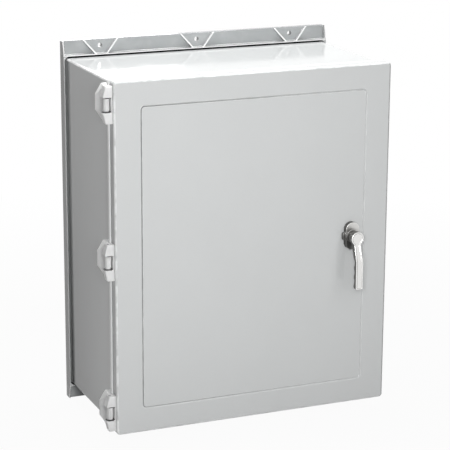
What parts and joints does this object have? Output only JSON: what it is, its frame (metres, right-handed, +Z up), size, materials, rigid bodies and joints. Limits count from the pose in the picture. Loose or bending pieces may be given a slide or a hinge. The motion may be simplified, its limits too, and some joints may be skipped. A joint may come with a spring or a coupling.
{
  "type": "electrical enclosure",
  "caption": "Wall-mounted moulded electrical enclosure with a gasketed side-hinged door, a hanging lever handle, a rod-and-roller latch and gusseted mounting flanges.",
  "frame": {"origin": "on the wall plane behind the box, at the centre of the mounting holes", "axes": "+X to the right seen from the front of the door, +Y into the wall, +Z up"},
  "size_m": [0.5395, 0.329, 0.679],
  "materials": {
    "moulding": "moulded glass-reinforced polyester, satin light grey",
    "hinge_plastic": "moulded thermoplastic polyester, satin light grey",
    "seal_rubber": "closed-cell and solid rubber, matt black",
    "handle_metal": "die-cast, satin plated",
    "base_metal": "die-cast, satin plated, a little darker",
    "steel": "stainless steel, turned",
    "plated_steel": "stainless sheet and flat bar, brushed",
    "white_nylon": "natural nylon, satin",
    "black_nylon": "black nylon, satin",
    "brass": "turned brass, bright"
  },
  "bodies": {
    "box": {"enclosure_body": "moulding", "hinge_body_leaf_top": "hinge_plastic", "hinge_body_leaf_middle": "hinge_plastic", "hinge_body_leaf_bottom": "hinge_plastic", "hinge_pin_top": "steel", "hinge_pin_middle": "steel", "hinge_pin_bottom": "steel", "hinge_body_screws": "steel", "upper_keeper": "plated_steel", "lower_keeper": "plated_steel", "centre_keeper": "plated_steel", "keeper_screws": "steel", "panel_inserts": "brass"},
    "door": {"door": "moulding", "door_gasket": "seal_rubber", "hinge_door_leaf_top": "hinge_plastic", "hinge_door_leaf_middle": "hinge_plastic", "hinge_door_leaf_bottom": "hinge_plastic", "hinge_door_screws": "steel", "handle_base": "base_metal", "handle_base_gasket": "seal_rubber", "handle_base_screws": "steel", "spindle_seal": "seal_rubber", "upper_rod_guide": "black_nylon", "lower_rod_guide": "black_nylon", "rod_guide_screws": "steel"},
    "handle": {"handle_lever": "handle_metal", "handle_spindle": "steel", "latch_cam": "plated_steel", "cam_pins": "steel", "cam_pin_clips": "steel", "cam_washer": "steel", "cam_screw": "steel"},
    "upper_rod": {"upper_rod": "plated_steel", "upper_roller_axle": "steel"},
    "lower_rod": {"lower_rod": "plated_steel", "lower_roller_axle": "steel"},
    "upper_roller": {"upper_roller": "white_nylon"},
    "lower_roller": {"lower_roller": "white_nylon"}
  },
  "joints": [
    {"name": "door_swing", "type": "hinge", "parent": "box", "child": "door", "pos_m": [-0.2695, -0.276, 0], "axis": [0, 0, -1], "range_deg": [0, 170]},
    {"name": "handle_turn", "type": "hinge", "parent": "door", "child": "handle", "pos_m": [0.1855, -0.288, 0.0055], "axis": [0, 1, 0], "range_deg": [0, 90]},
    {"name": "upper_rod_slide", "type": "slide", "parent": "door", "child": "upper_rod", "axis": [0, 0, 1], "range_m": [0, 0.02828]},
    {"name": "lower_rod_slide", "type": "slide", "parent": "door", "child": "lower_rod", "axis": [0, 0, -1], "range_m": [0, 0.02828]},
    {"name": "upper_roller_spin", "type": "hinge", "parent": "upper_rod", "child": "upper_roller", "pos_m": [0.16843, -0.2602, 0.26182], "axis": [1, 0, 0], "continuous": true},
    {"name": "lower_roller_spin", "type": "hinge", "parent": "lower_rod", "child": "lower_roller", "pos_m": [0.20257, -0.2602, -0.26182], "axis": [1, 0, 0], "continuous": true}
  ],
  "couplings": [
    {"joint": "handle_turn", "follows": "upper_rod_slide", "rad_per_m": 55.536},
    {"joint": "lower_rod_slide", "follows": "upper_rod_slide", "ratio": 1}
  ]
}
